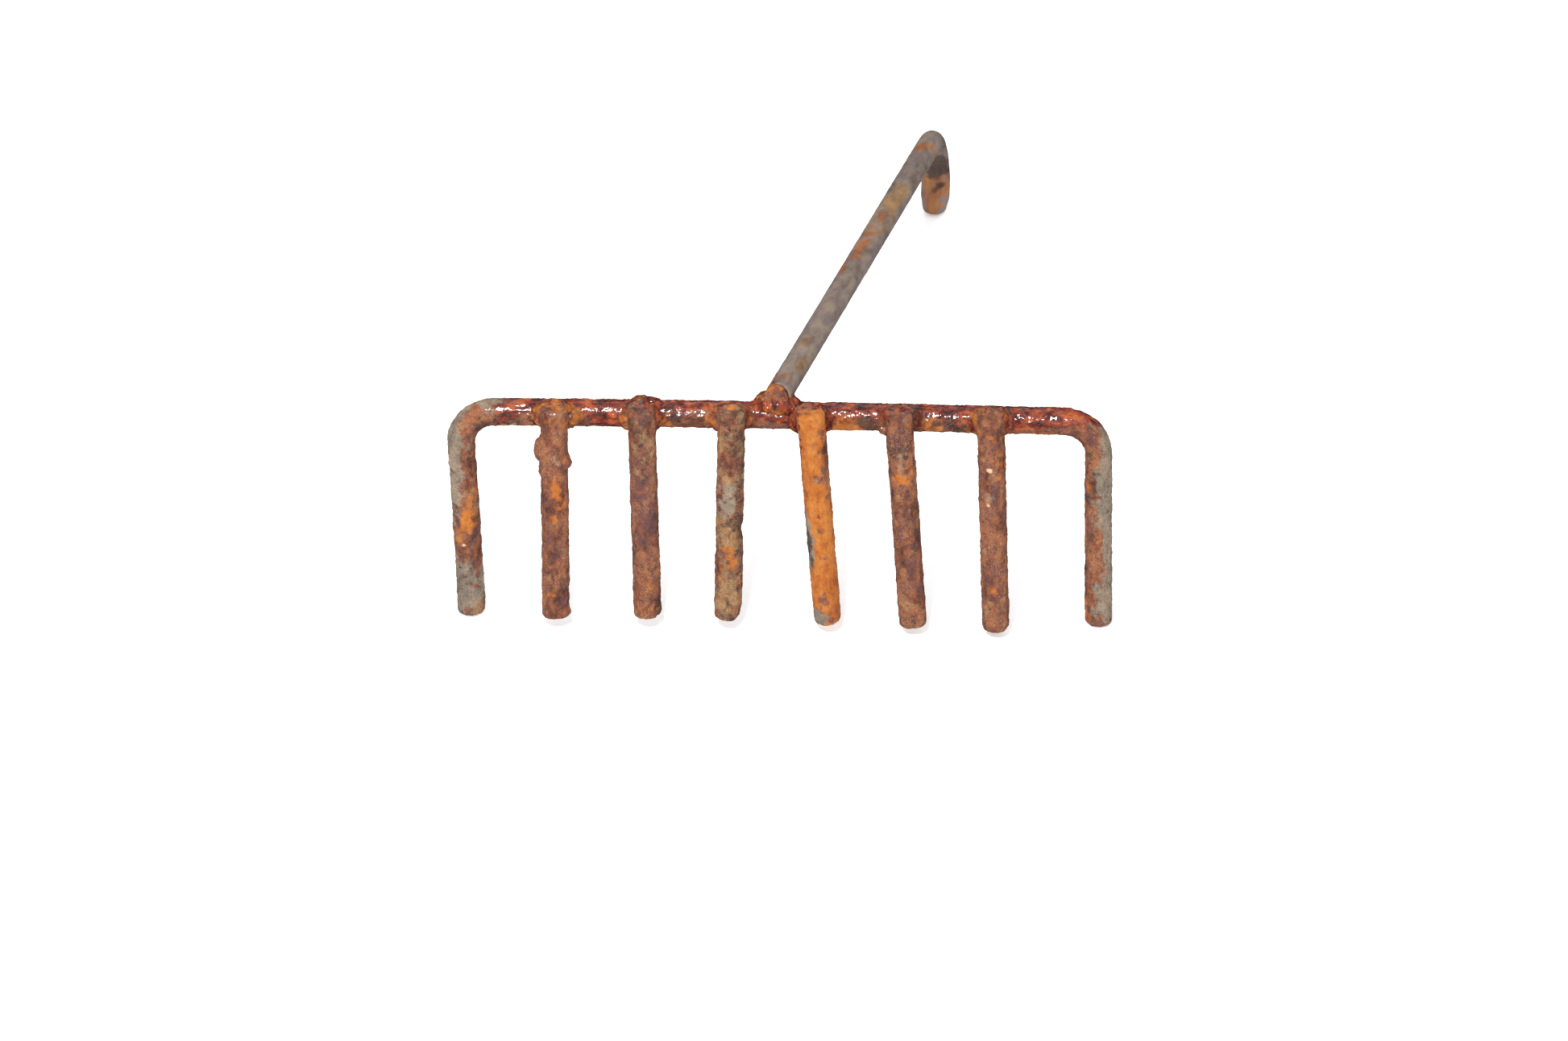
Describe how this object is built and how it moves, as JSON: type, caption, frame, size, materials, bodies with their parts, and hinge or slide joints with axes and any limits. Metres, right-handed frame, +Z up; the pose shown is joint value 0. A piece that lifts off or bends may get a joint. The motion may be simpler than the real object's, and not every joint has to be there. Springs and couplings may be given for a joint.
{
  "type": "hay rake",
  "caption": "Small welded iron hay rake of rusted round bar: a bent frame bar with inner tines across its front and a handle bar whose far end is bent down as a foot and hook.",
  "frame": {"origin": "on the floor that the rake stands on, below the middle of its box; the floor is Z = 0", "axes": "+X along the crossbar to the right as seen from the tines' side, +Y from the crossbar back along the handle, +Z up"},
  "size_m": [0.3108, 0.3855, 0.1247],
  "materials": {
    "frame_steel": "rusted round bar under a glossy clear varnish, bare grey mill scale at the left corner",
    "tine_steel": "orange to brown rust, pitted, with dark specks",
    "handle_steel": "smooth matt grey-brown patina with soft orange stains",
    "weld_metal": "rusty weld beads under a glossy dark red varnish"
  },
  "bodies": {
    "root": {"frame_bar": "frame_steel", "inner_tine_1": "tine_steel", "inner_tine_2": "tine_steel", "inner_tine_3": "tine_steel", "inner_tine_4": "tine_steel", "inner_tine_5": "tine_steel", "inner_tine_6": "tine_steel", "handle_bar": "handle_steel", "tine_weld_1_left": "weld_metal", "tine_weld_1_right": "weld_metal", "tine_weld_2_left": "weld_metal", "tine_weld_2_right": "weld_metal", "tine_weld_3_left": "weld_metal", "tine_weld_3_right": "weld_metal", "tine_weld_4_left": "weld_metal", "tine_weld_4_right": "weld_metal", "tine_weld_5_left": "weld_metal", "tine_weld_5_right": "weld_metal", "tine_weld_6_left": "weld_metal", "tine_weld_6_right": "weld_metal", "tine_2_top_weld": "weld_metal", "tine_1_repair_weld": "weld_metal", "handle_weld_left": "weld_metal", "handle_weld_right": "weld_metal", "handle_weld_front": "weld_metal"}
  },
  "joints": []
}
